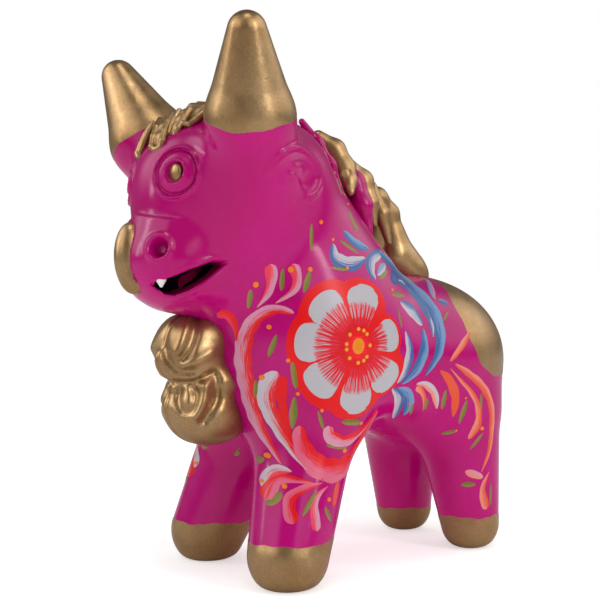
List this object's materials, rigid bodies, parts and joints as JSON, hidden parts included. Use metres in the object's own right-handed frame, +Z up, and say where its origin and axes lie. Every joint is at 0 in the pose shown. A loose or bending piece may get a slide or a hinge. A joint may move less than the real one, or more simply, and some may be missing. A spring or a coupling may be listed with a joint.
{
  "type": "pottery bull figurine",
  "caption": "Standing hollow pottery bull with upright horns, gilt mane, dewlap and hooves, a back loop and brush-painted flower decoration.",
  "frame": {"origin": "centre of the bounding box's footprint, on the surface that the hooves stand on", "axes": "+Z up, the bull looks along -Y, +X to the bull's left"},
  "size_m": [0.1069, 0.1747, 0.1963],
  "materials": {
    "magenta_glaze": "glossy magenta glaze with brush-painted red, white, blue, green and orange decoration",
    "gilt": "satin metallic gold paint over glaze",
    "ivory_glaze": "glossy white glaze"
  },
  "bodies": {
    "root": {"back_handle": "gilt", "dewlap_lower": "gilt", "dewlap_upper": "gilt", "ear_left": "magenta_glaze", "ear_right": "magenta_glaze", "eye_ring_left": "magenta_glaze", "eye_ring_right": "magenta_glaze", "forelock_strand_1": "gilt", "forelock_strand_2": "gilt", "forelock_strand_3": "gilt", "forelock_strand_4": "gilt", "forelock_strand_5": "gilt", "front_leg_left": "magenta_glaze", "front_leg_right": "magenta_glaze", "head_shell": "magenta_glaze", "hind_leg_left": "magenta_glaze", "hind_leg_right": "magenta_glaze", "horn_left": "gilt", "horn_right": "gilt", "mane_lock_1_left": "gilt", "mane_lock_1_right": "gilt", "mane_lock_2_left": "gilt", "mane_lock_2_right": "gilt", "mane_lock_3_left": "gilt", "mane_lock_3_right": "gilt", "nostril_ring_left": "magenta_glaze", "nostril_ring_right": "magenta_glaze", "pupil_left": "gilt", "pupil_right": "gilt", "tail": "gilt", "tongue": "gilt", "tooth_left": "ivory_glaze", "tooth_right": "ivory_glaze", "torso_shell_left": "magenta_glaze", "torso_shell_right": "magenta_glaze"}
  },
  "joints": []
}
